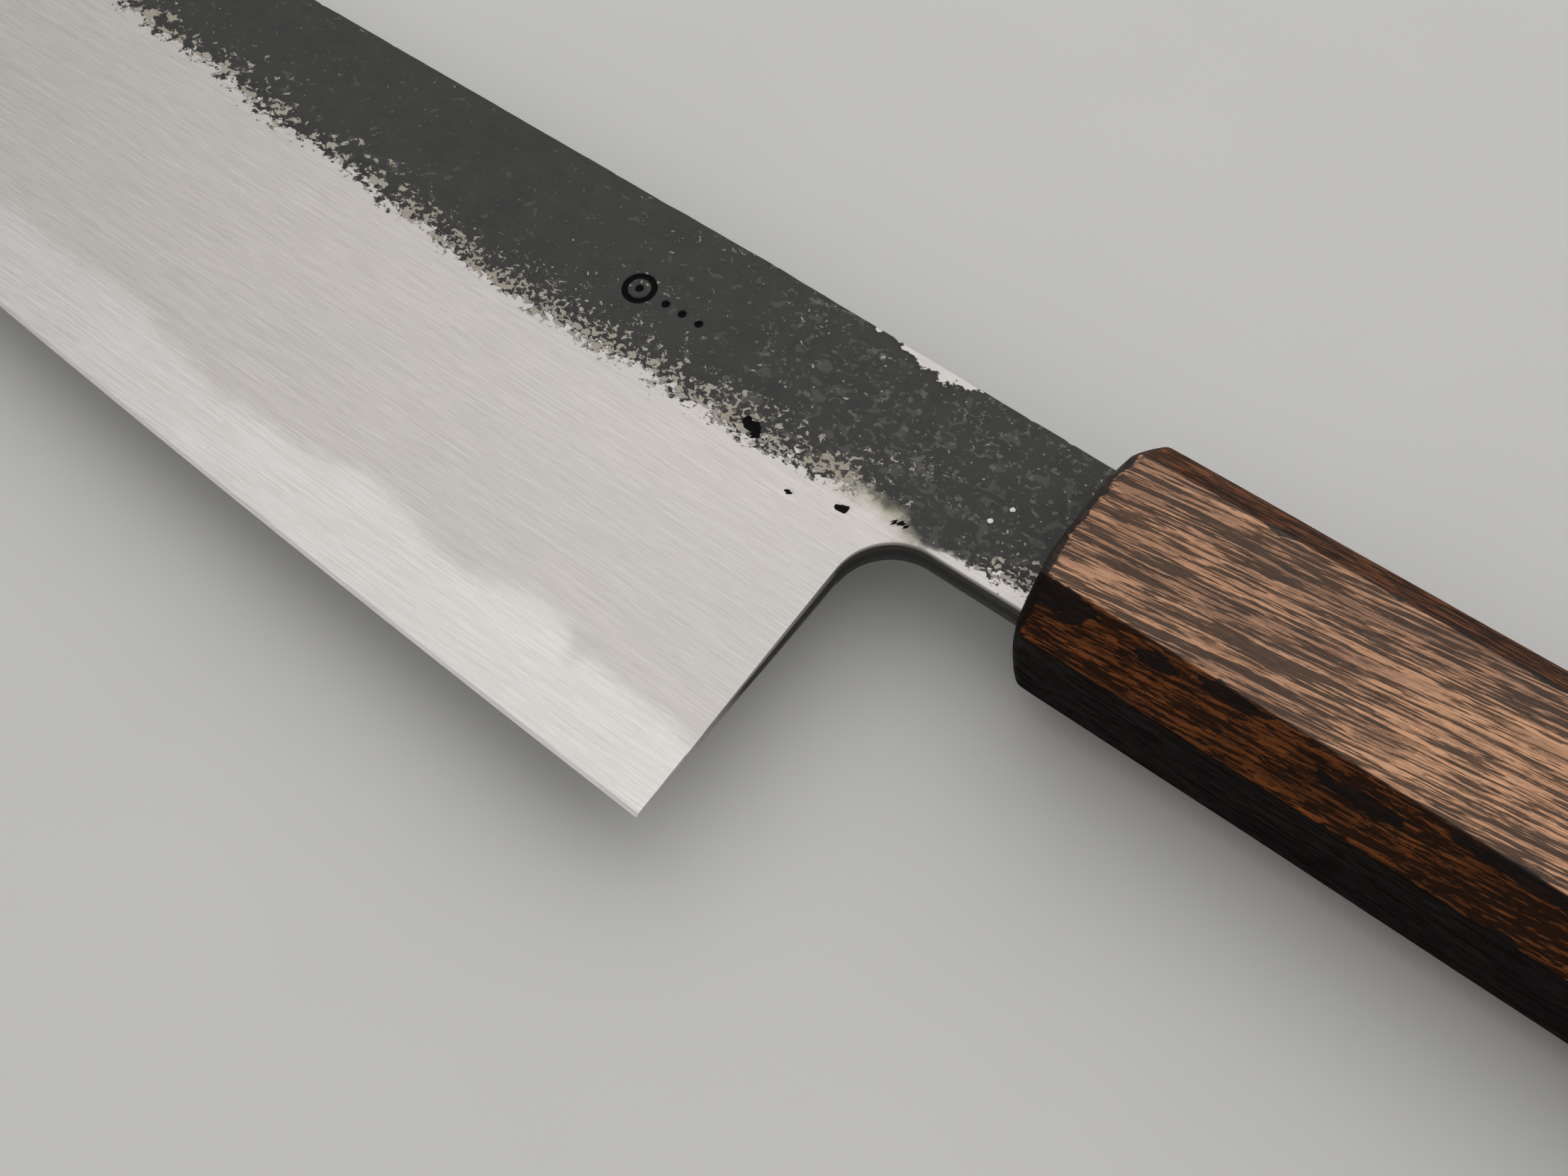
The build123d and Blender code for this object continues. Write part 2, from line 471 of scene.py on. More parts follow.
def pit_cut(ahead, height):
    """1 in the torn pits and 0 outside."""
    ragged = 0.3 * layers(ahead / 0.5, height / 0.45, 0.5, 83)
    cut = np.zeros(np.broadcast(ahead, height).shape)
    for at, up, radius in torn_pits:
        gap = np.hypot(ahead - at, (height - up) * 1.25) - radius + ragged
        cut = np.maximum(cut, 1 - smooth(-0.12, 0.12, gap))
    return cut


def ground_waves(ahead, height, seed):
    """Very low waves of the ground faces."""
    return 0.006 * layers(ahead / 9.0, height / 4.0, 0.5, seed + 41)


def inner_lines(shell, side, weld, at_spine, at_guide):
    """Lines of points on the flat face between a cladding and the core, along the spine, the
    guide line and a bend that follows the wavy weld, with the faces between them."""
    inner = side * core_boundary(all_ahead)
    bend = weld + bend_share * (guide_height(blade_ahead) - weld)
    spine_points = place(all_ahead, top_height(all_ahead) - rim_wear, inner)
    spine_line = shell.grid(spine_points, wall=1.0, **at_spine)
    under_line = shell.grid(place(all_ahead, guide_height(all_ahead), inner), wall=1.0, **at_guide)
    bend_line = shell.grid(place(blade_ahead, bend, inner[heel_column:]), wall=1.0)
    shell.strip(spine_line, under_line)
    shell.strip(under_line[heel_column:], bend_line)
    return spine_line, under_line, bend_line


def cladding(name, side, seed, weld_lobes):
    """One cladding layer: forged above, ground below down to the wavy weld line, with rounded
    rims at spine, neck and choil, and a flat inner face against the core."""
    shell = Shell("ahead", "scale", "rise", "soft", "seam", "wall", "stamp", "pit")

    def surface(ahead, heights, columns):
        """Outer points and their surface values over a grid."""
        ahead = ahead[:, None]
        depth = np.clip((top_height(ahead) - heights) / 0.5, 0.0, 1.0)
        worn = heights - rim_wear[columns][:, None] * (1 - depth)
        field = scale_field(ahead, heights, seed, side)
        mask = smooth(-0.1, 0.25, field)
        weld = weld_height(ahead, seed, weld_lobes)
        above = heights - weld
        inside = smooth(0.3, 1.5, above) * smooth(-heel_gap - 1.0, -heel_gap + 0.5, ahead)
        forged = 0.02 * layers(ahead / 7.0, heights / 5.0, 0.5, seed + 31)
        forged = forged + 0.016 * layers(ahead / 1.3, heights / 1.1, 0.5, seed + 37)
        relief = mask * (0.014 + forged) + (1 - mask) * ground_waves(ahead, heights, seed)
        stamp, pit = [cut(ahead, heights) * (side > 0) for cut in (stamp_cut, pit_cut)]
        out = half_thickness(ahead, heights)
        out = out + inside * (relief - stamp_depth * stamp - pit_depth * pit)
        rise = heights - scale_line(ahead, side)
        soft = lobe(ahead, -0.6, 5.2, 1.0) * smooth(-1.0, -4.0, heights)
        values = dict(rise=rise, soft=soft, seam=above, stamp=stamp, pit=pit)
        return shell.grid(place(ahead, worn, side * out), ahead=ahead, scale=field, **values)

    upper = surface(all_ahead, upper_heights(all_ahead), slice(None))
    shell.quads(upper)
    weld = weld_height(blade_ahead, seed, weld_lobes)
    lower_rows = lower_heights(blade_ahead, weld, 26)[:, 1:]
    lower = surface(blade_ahead, lower_rows, slice(heel_column, None))
    lower = np.concatenate([upper[heel_column:, -1:], lower], axis=1)
    shell.quads(lower)

    # The inner face lies on the core's flat face.
    spine_line, under_line, bend_line = inner_lines(shell, side, weld, dict(rise=20.0), {})
    shell.strip(bend_line, lower[:, -1])

    rear = slice(None, heel_column + 1)
    spine_wall = shell.wall(upper[:, 0], spine_line, 4, wall=1.0, scale=9.0, rise=20.0)
    under_wall = shell.wall(upper[rear, -1], under_line[rear], 4, wall=1.0, scale=-2.0)
    shell.polygon(lower[0], [bend_line[0]], under_wall[-1][::-1])
    shell.polygon(upper[-1], lower[-1], [bend_line[-1], under_line[-1]], spine_wall[-1][::-1])
    shell.polygon(upper[0], under_wall[0], spine_wall[0][::-1])
    return shell.piece(name)


def core(name, sides):
    """The hard core: flat faces under the claddings, and below the weld lines the two ground
    faces that meet in the cutting edge behind a small bevel."""
    shell = Shell("scale", "seam", "wall")
    low = edge_height(blade_ahead)
    sides_made = []
    edge_row = shell.grid(place(blade_ahead, low, 0.0), seam=-8.0, scale=-9.0)
    for side, seed, weld_lobes in sides:
        weld = weld_height(blade_ahead, seed, weld_lobes)
        lines = inner_lines(shell, side, weld, dict(scale=2.0), dict(scale=-2.0))
        bevel = ground_lines(blade_ahead)[3]
        share = np.linspace(0.0, 1.0, 22)[None, :]
        ground_end = low + bevel * 1.12
        heights = weld[:, None] + share * (ground_end - weld)[:, None]
        bevel_rows = np.stack([low + bevel, low + bevel * 0.88, low + bevel * 0.45], axis=1)
        heights = np.concatenate([heights, bevel_rows], axis=1)
        out = half_thickness(blade_ahead[:, None], heights)
        relief = ground_waves(blade_ahead[:, None], heights, seed)
        fade = smooth(0.3, 1.5, weld[:, None] - heights) * smooth(0.6, 1.6, heights - low[:, None])
        points = place(blade_ahead[:, None], heights, side * (out + relief * fade))
        faces = shell.grid(points, seam=heights - weld[:, None], scale=-9.0)
        faces = np.concatenate([faces, edge_row[:, None]], axis=1)
        shell.strip(lines[2], faces[:, 0])
        shell.quads(faces)
        sides_made.append((*lines, faces))

    shell.strip(*[made[0] for made in sides_made])
    shell.strip(*[made[1][: heel_column + 1] for made in sides_made])

    first, second = sides_made
    heel = [[under[heel_column], bend[0], *faces[0]] for _, under, bend, faces in sides_made]
    shell.polygon(heel[0], heel[1][::-1])
    point = [[spine[-1], under[-1], bend[-1], *faces[-1]] for spine, under, bend, faces in sides_made]
    shell.polygon(point[0], point[1][::-1])
    shell.polygon([first[0][0], first[1][0], second[1][0], second[0][0]])
    return shell.piece(name)


# ---- Handle ----

# The wood's grain runs at a small angle to the handle.
grain_angle = math.radians(6.0)
root_height = neck_spine_height + neck_drop
root_middle = (neck_spine_height - neck_drop) / 2
mouth_height = root_height + 4 * seal_border
mouth_thickness = 2 * spine_half + 4 * seal_border
facet_points = (40, 4, 19, 4, 28)


def quarter(half_y, half_z, bevel, radius):
    """A quarter of a bevelled rectangle with softened corners, from the middle of its upper
    side to the middle of its outer side, one row for each entry of the sizes."""
    turn = math.radians(45)
    tangent = radius * math.tan(turn / 2)
    lean = math.cos(turn)
    top_end = (half_y - bevel - tangent, half_z)
    slant = (half_y - bevel + tangent * lean, half_z - tangent * lean)
    slant_end = (half_y - tangent * lean, half_z - bevel + tangent * lean)
    side = (half_y, half_z - bevel - tangent)
    top_count, first_arc, slant_count, second_arc, side_count = facet_points

    def straight(start, end, count):
        share = np.arange(count) / count
        return [s[:, None] + share * (e - s)[:, None] for s, e in zip(start, end)]

    def arc(centre, start_angle, count):
        angles = start_angle - turn * np.arange(count) / count
        centre_y, centre_z = centre
        r = radius[:, None]
        return [centre_y[:, None] + r * np.cos(angles), centre_z[:, None] + r * np.sin(angles)]

    parts = [
        straight((0 * half_y, half_z), top_end, top_count),
        arc((top_end[0], half_z - radius), math.radians(90), first_arc),
        straight(slant, slant_end, slant_count),
        arc((half_y - radius, side[1]), turn, second_arc),
        straight(side, (half_y, 0 * half_z), side_count),
        [half_y[:, None], 0 * half_z[:, None]],
    ]
    return [np.concatenate([part[side] for part in parts], axis=1) for side in (0, 1)]


def ring_of(half_y, half_z, bevel, radius):
    """The whole softened outline, one row for each entry of the sizes."""
    sizes = [np.atleast_1d(np.asarray(size, float)) for size in (half_y, half_z, bevel, radius)]
    y, z = quarter(*np.broadcast_arrays(*sizes))
    y = np.concatenate([y, y[:, -2::-1], -y[:, 1:], -y[:, -2:0:-1]], axis=1)
    z = np.concatenate([z, -z[:, -2::-1], -z[:, 1:], z[:, -2:0:-1]], axis=1)
    return y, z


def closed(numbers):
    """Point numbers with the first column repeated at the end, to close a ring."""
    return np.concatenate([numbers, numbers[:, :1]], axis=1)


def wood_pores(x, y, z, seed):
    """Depth share of the open pores: long fine grooves along the grain."""
    along = x * math.cos(grain_angle) + y * math.sin(grain_angle)
    across = -x * math.sin(grain_angle) + y * math.cos(grain_angle)
    wander = 0.5 * layers(along / 30.0, across / 9.0, z / 9.0, seed)
    fine = noise(along / 2.6, (across + wander) / 0.34, z / 0.34, seed + 1)
    long = noise(along / 5.5, (across + wander) / 0.46, z / 0.46, seed + 2)
    patches = 0.2 * noise(along / 18.0, across / 2.4, z / 2.4, seed + 3)
    return smooth(0.25, 0.6, np.maximum(fine, long) + patches)


# Larger burnt lenses on the bevel towards the edge side, as (distance from the handle's front,
# distance from the upper facet, half length, half width).
burnt_lenses = ((3.0, 1.3, 4.2, 1.5), (12.8, 1.5, 2.6, 0.8), (19.5, 0.7, 3.4, 0.7))
burnt_lenses += ((33.0, 2.4, 5.0, 0.8), (46.5, 0.6, 6.5, 0.8), (61.0, 3.0, 6.0, 1.1))
burnt_lenses += ((88.0, 1.0, 7.0, 0.9), (117.0, 2.2, 6.0, 1.0))


def lens_patches(along, off_edge, x, y, z):
    """1 inside the burnt lenses and 0 outside, with a torn rim."""
    rag = 0.3 * layers(x / 1.4, y / 0.6, z / 0.6, 77)
    inside = np.zeros(y.shape)
    for middle, off, half_long, half_wide in burnt_lenses:
        reach = np.hypot((along - middle) / half_long, (off_edge - off) / half_wide) + rag
        inside = np.maximum(inside, 1 - smooth(0.8, 1.1, reach))
    return inside


def burnt_patches(x, y, z, corner, seed):
    """Lens-shaped black patches along the facets' edges, where the flame caught the wood."""
    spots = noise(x / 4.0, y / 1.3, z / 1.3, seed) + 0.5 * noise(x / 1.6, y / 0.5, z / 0.5, seed + 1)
    near = np.exp(-((corner / 0.8) ** 2))
    return smooth(0.5, 0.85, spots * (0.3 + 0.4 * near) + 0.4 * near - 0.05)


def handle(name, seed):
    """The octagonal handle with eased ends, raised grain and the mortise behind its mouth."""
    shell = Shell("pore", "burn", "facet", "end")
    front_turn = np.radians(np.linspace(0, 90, 7))
    front_along = front_rounding * (1 - np.cos(front_turn))
    front_inset = front_rounding * (1 - np.sin(front_turn))
    butt_along = handle_length - butt_rounding * (1 - np.cos(front_turn[::-1]))
    butt_inset = butt_rounding * (1 - np.sin(front_turn[::-1]))
    butt_start = handle_length - butt_rounding
    near_front = (front_rounding, 0.15), (front_rounding + 2.0, 0.8)
    near_butt = (butt_start - 2.0, 0.2), (butt_start, 0.2)
    middle = places(*near_front, *near_butt)[1:-1]
    along = np.concatenate([front_along, middle, butt_along])
    inset = np.concatenate([front_inset, 0 * middle, butt_inset])
    share = along / handle_length
    half_y = (front_height + (butt_height - front_height) * share) / 2 - inset
    half_z = (front_thickness + (butt_thickness - front_thickness) * share) / 2 - inset
    bevel = handle_bevel - (2 - math.sqrt(2)) * inset
    y, z = ring_of(half_y, half_z, bevel, facet_softness)
    x = np.broadcast_to((front_x + along)[:, None], y.shape)

    # Distance inside the nearest facet edge, and which way each facet faces.
    top_edge = np.abs(np.abs(y) - (half_y - bevel)[:, None])
    side_edge = np.abs(np.abs(z) - (half_z - bevel)[:, None])
    corner = np.minimum(top_edge, side_edge)
    wide = smooth(-0.15, 0.15, (half_y - bevel)[:, None] - np.abs(y))
    slanted = smooth(-0.15, 0.15, np.abs(z) - (half_z - bevel)[:, None])
    # This value lets the shader darken bevels and narrow sides: partly burnt wood, partly painted shade.
    facing = 0.5 * wide + 0.5 * slanted

    pore = wood_pores(x, y, z, seed)
    burn = burnt_patches(x, y, z, corner, seed + 40)
    inward = (half_y - bevel)[:, None] - np.abs(y)
    off_edge = np.where(inward > 0, -inward, (half_z[:, None] - z) * math.sqrt(2))
    off_edge = np.where((y < 0) & (z > 0), off_edge, 99.0)
    burn = np.maximum(burn, lens_patches(along[:, None], off_edge, x, y, z))
    rag = 0.35 * layers(x / 1.2, y / 1.2, z / 1.2, seed + 50)
    end_reach = np.minimum(along, handle_length - along)[:, None]
    burn = np.maximum(burn, 1 - smooth(0.5, 1.1, end_reach + rag))
    wave = 0.04 * layers(x / 14.0, y / 5.0, z / 5.0, seed + 60)
    crisp = smooth(0.0, 0.5, corner)
    depth = (pore_depth * pore + 0.01 * burn) * crisp + wave * smooth(0.0, 3.0, along)[:, None]
    size = np.hypot(y, z)
    y_cut = y - depth * y / size
    z_cut = z - depth * z / size
    # The front is slightly domed, so the facets' corners start further back.
    middle_reach = (front_thickness / 2) ** 2
    corner_reach = middle_reach + (front_height / 2 - handle_bevel) ** 2
    dome = front_dome * np.clip((size**2 - middle_reach) / (corner_reach - middle_reach), 0.0, 1.2)
    x = x + dome * (1 - smooth(0.0, 9.0, along))[:, None]
    points = np.stack([x, axis_y + y_cut, axis_z + z_cut], axis=-1)
    values = dict(pore=pore, burn=burn, facet=facing)
    body = shell.grid(points, **values)
    shell.quads(closed(body))

    def end_face(rim, rim_y, rim_z, to_y, to_z, at, steps, turn_in):
        """Rings from a rim to an inner outline on an end face."""
        rings = [rim]
        rim_x = np.concatenate(shell.points)[rim, 0]
        for step in range(1, steps + 1):
            part = step / steps
            ring_y = rim_y * (1 - part) + to_y * part
            ring_z = rim_z * (1 - part) + to_z * part
            marks = layers(ring_y / 0.5, ring_z / 0.5, 0.5, seed + 70)
            raise_by = 0.02 * marks * math.sin(math.pi * min(part, 0.5))
            ring_x = at + (rim_x - at) * (1 - part) ** 2 + turn_in * raise_by
            ring = np.stack([ring_x, axis_y + ring_y, axis_z + ring_z], axis=-1)
            pits = smooth(0.3, 0.8, noise(ring_y / 0.3, ring_z / 0.3, 0.5, seed + 71))
            rings.append(shell.grid(ring, pore=pits, end=1.0))
        numbers = np.stack(rings)
        shell.quads(closed(numbers))
        return numbers[-1]

    # The front face, the step that holds the seal, and the slot behind it.
    mouth_y, mouth_z = ring_of(mouth_height / 2, mouth_thickness / 2, 0.5, 0.1)
    mouth = end_face(body[0], y[0], z[0], mouth_y[0] + root_middle, mouth_z[0], front_x, 14, 1.0)
    slot_y, slot_z = ring_of(mouth_height / 2 - seal_border, mouth_thickness / 2 - seal_border, 0.3, 0.1)
    end_y, end_z = ring_of(
        tang_end_height / 2 + mortise_clearance, tang_end_half + mortise_clearance, 0.3, 0.1
    )
    slot_end = front_x + tang_length + mortise_end_space
    depths = (
        (front_x + seal_depth, mouth_y[0] + root_middle, mouth_z[0]),
        (front_x + seal_depth, slot_y[0] + root_middle, slot_z[0]),
        (slot_end, end_y[0], end_z[0]),
    )
    rows = [mouth]
    for at, ring_y, ring_z in depths:
        ring = np.stack([0 * ring_y + at, axis_y + ring_y, axis_z + ring_z], axis=-1)
        rows.append(shell.grid(ring, burn=1.0, end=1.0))
    shell.quads(closed(np.stack(rows)))
    shell.polygon(rows[-1])

    centre = end_face(body[-1], y[-1], z[-1], 0.04 * y[-1], 0.04 * z[-1], butt_x, 26, -1.0)
    shell.polygon(centre)
    return shell.piece(name, 50.0)


def seal(name):
    """The resin bead that closes the mortise: it climbs a little up the neck all round."""
    shell = Shell()
    outer_y, outer_z = ring_of(mouth_height / 2 - 0.02, mouth_thickness / 2 - 0.02, 0.5, 0.1)
    inner_y, inner_z = ring_of(root_height / 2 + 0.01, spine_thickness(-heel_gap) + 0.01, 0.2, 0.06)
    rows = []
    shares = (0.0, 0.12, 0.3, 0.5, 0.7, 0.88, 1.0)
    lifts = (0.0, 0.1, 0.16, 0.2, 0.26, 0.36, 0.5)
    for share, lift in zip(shares, lifts):
        ring_y = outer_y[0] * (1 - share) + inner_y[0] * share
        ring_z = outer_z[0] * (1 - share) + inner_z[0] * share
        uneven = 1 + 0.5 * noise(ring_y / 2.0, ring_z / 2.0, 0.5, 91)
        x = front_x + 0.2 - lift * uneven
        rows.append(shell.grid(np.stack([x, axis_y + root_middle + ring_y, axis_z + ring_z], axis=-1)))
    for ring_y, ring_z in ((inner_y[0], inner_z[0]), (outer_y[0], outer_z[0])):
        back = np.full(ring_y.shape, front_x + seal_depth - 0.02)
        points = np.stack([back, axis_y + root_middle + ring_y, axis_z + ring_z], axis=-1)
        rows.append(shell.grid(points))
    shell.quads(closed(np.stack(rows + rows[:1])))
    return shell.piece(name)


# ---- Materials ----


class Finish:
    """A material on the Principled shader, with short calls for the nodes that feed it."""

    def __init__(self, name, **sockets):
        self.material = bpy.data.materials.new(name)
        self.material.use_nodes = True
        self.tree = self.material.node_tree
        self.shader = self.tree.nodes["Principled BSDF"]
        for socket, value in sockets.items():
            self.feed(self.socket(socket), value)
        self.position = self.add("ShaderNodeTexCoord").outputs["Object"]

    def add(self, kind, inputs=(), **settings):
        """A new node with its settings and with what goes into its inputs."""
        node = self.tree.nodes.new(kind)
        for setting, value in settings.items():
            setattr(node, setting, value)
        for key, value in dict(inputs).items():
            self.feed(node.inputs[key], value)
        return node

    def socket(self, name):
        """The shader's socket of that name."""
        return self.shader.inputs[name.replace("_", " ").title().replace("Ior", "IOR")]

    def feed(self, socket, value):
        """Links an output to a socket, or sets the socket to a plain value."""
        if isinstance(value, bpy.types.NodeSocket):
            self.tree.links.new(value, socket)
        else:
            socket.default_value = value

    def values(self, *names):
        """Per-point values of the mesh."""
        return [self.add("ShaderNodeAttribute", attribute_name=name).outputs["Fac"] for name in names]

    def spread(self, size, turn=0.0):
        """Object coordinates divided by a size in millimetres along each axis."""
        scale = [side * MM for side in size]
        inputs = {"Vector": self.position, "Rotation": (0.0, 0.0, turn), "Scale": scale}
        return self.add("ShaderNodeMapping", inputs, vector_type="TEXTURE").outputs["Vector"]

    def noise(self, size, turn=0.0, detail=3.0, rough=0.55, warp=0.0):
        """Noise from 0 to 1 with features of a size in millimetres along each axis."""
        inputs = {"Vector": self.spread(size, turn), "Scale": 1.0, "Detail": detail}
        inputs.update({"Roughness": rough, "Distortion": warp})
        return self.add("ShaderNodeTexNoise", inputs).outputs["Fac"]

    def math(self, operation, first, second=0.0):
        """One arithmetic step."""
        return self.add("ShaderNodeMath", {0: first, 1: second}, operation=operation).outputs[0]

    def times(self, first, second):
        """The product."""
        return self.math("MULTIPLY", first, second)

    def plus(self, first, second):
        """The sum."""
        return self.math("ADD", first, second)

    def most(self, first, second):
        """The larger of two values."""
        return self.math("MAXIMUM", first, second)

    def rest(self, share):
        """What a share leaves of the whole."""
        return self.math("SUBTRACT", 1.0, share)

    def total(self, *terms):
        """The sum of outputs, each with its own weight."""
        summed = None
        for output, weight in terms:
            part = self.times(output, weight)
            summed = part if summed is None else self.plus(summed, part)
        return summed

    def ramp(self, value, low, high, start=0.0, end=1.0):
        """A smooth step of a value from one level to another."""
        inputs = {"Value": value, "From Min": low, "From Max": high, "To Min": start, "To Max": end}
        return self.add("ShaderNodeMapRange", inputs, interpolation_type="SMOOTHSTEP").outputs[0]

    def mix(self, share, first, second):
        """A colour between two others, which are outputs or display values from 0 to 1."""
        first, second = [shade_of(*c) if isinstance(c, tuple) else c for c in (first, second)]
        inputs = {0: share, 6: first, 7: second}
        return self.add("ShaderNodeMix", inputs, data_type="RGBA", clamp_factor=True).outputs[2]

    def coats(self, tone, *layers):
        """A colour with others laid over it, each by its own share."""
        for share, colour in layers:
            tone = self.mix(share, tone, colour)
        return tone

    def bump(self, height, distance, before=None):
        """A bump of some millimetres, on top of another."""
        inputs = {"Distance": distance * MM, "Strength": 1.0, "Height": height}
        if before is not None:
            inputs["Normal"] = before
        return self.add("ShaderNodeBump", inputs).outputs["Normal"]

    def shade(self, **sockets):
        """Feeds the shader's own sockets."""
        for socket, value in sockets.items():
            self.feed(self.socket(socket), value)
        return self.material


def shade_of(red, green, blue):
    """A linear colour from display values from 0 to 1."""
    light = [c / 12.92 if c <= 0.04045 else ((c + 0.055) / 1.055) ** 2.4 for c in (red, green, blue)]
    return (*light, 1.0)


def ground_steel(finish):
    """Colour, roughness and bump height of the ground faces: fine scratches along the blade,
    duller above the weld line and brighter below it, where the line is hazy."""
    haze = finish.noise((4.5, 0.9, 4.5), detail=4.0, rough=0.65)
    seam = finish.total((*finish.values("seam"), 1.0), (haze, 2.4))
    above = finish.ramp(seam, 0.0, 2.9)
    broad = finish.noise((26.0, 9.0, 26.0), detail=2.0)
    brush = finish.noise((9.0, 0.11, 0.11), detail=3.0, rough=0.7)
    grit = finish.noise((0.9, 0.16, 0.16), detail=2.0, rough=0.7)
    scratch = finish.ramp(finish.noise((7.0, 0.13, 0.13), turn=0.03, detail=1.0), 0.66, 0.74)
    lines = finish.noise((5.5, 0.22, 0.22), detail=4.0, rough=0.75)
    grain = finish.total((brush, 0.5), (lines, 0.7))
    grain = finish.ramp(grain, 0.35, 0.85)
    core_tone = finish.mix(grain, (0.72, 0.71, 0.70), (0.825, 0.815, 0.81))
    iron_tone = finish.mix(grain, (0.685, 0.67, 0.66), (0.78, 0.765, 0.755))
    tone = finish.coats(
        finish.mix(above, core_tone, iron_tone),
        (finish.ramp(broad, 0.35, 0.7, 0.0, 0.14), (0.70, 0.70, 0.69)),
        (finish.times(scratch, 0.2), (0.93, 0.93, 0.92)),
    )
    rough = finish.total((above, 0.1), (brush, 0.1), (lines, 0.08), (grit, 0.06), (broad, 0.05))
    rough = finish.plus(rough, 0.24)
    height = finish.total((brush, 0.6), (lines, 0.7), (grit, 0.35), (scratch, -0.4))
    return tone, rough, height


def scale_skin(finish, skin):
    """Black forge scale."""
    return finish.mix(skin, (0.13, 0.13, 0.13), (0.22, 0.22, 0.216))


def rim_scale_and_shade(finish, skin):
    """The eased rims of neck and choil: black forge scale, darkened further by painted shade."""
    return finish.mix(skin, (0.06, 0.055, 0.05), (0.14, 0.13, 0.125))


def core_finish():
    """Hard steel: ground faces at the edge, dark forged rims at spine, neck and tang; the rims under
    neck and tang also carry painted shade.
    """
    finish = Finish("core_steel_ground", metallic=1.0)
    tone, rough, height = ground_steel(finish)
    wall, side = finish.values("wall", "scale")
    skin = finish.noise((2.6, 1.8, 2.2), detail=5.0, rough=0.6)
    spine = finish.ramp(side, -1.0, 1.0)
    # Spine rims take the scale colour; rims under neck and tang take scale darkened by painted shade.
    dark = finish.mix(spine, rim_scale_and_shade(finish, skin), scale_skin(finish, skin))
    tone = finish.mix(wall, tone, dark)
    rough = finish.total((rough, 1.0), (wall, 0.2))
    metal = finish.ramp(wall, 0.2, 0.8, 1.0, 0.12)
    normal = finish.bump(height, 0.006)
    normal = finish.bump(finish.times(skin, wall), 0.06, normal)
    return finish.shade(base_color=tone, roughness=rough, metallic=metal, normal=normal)


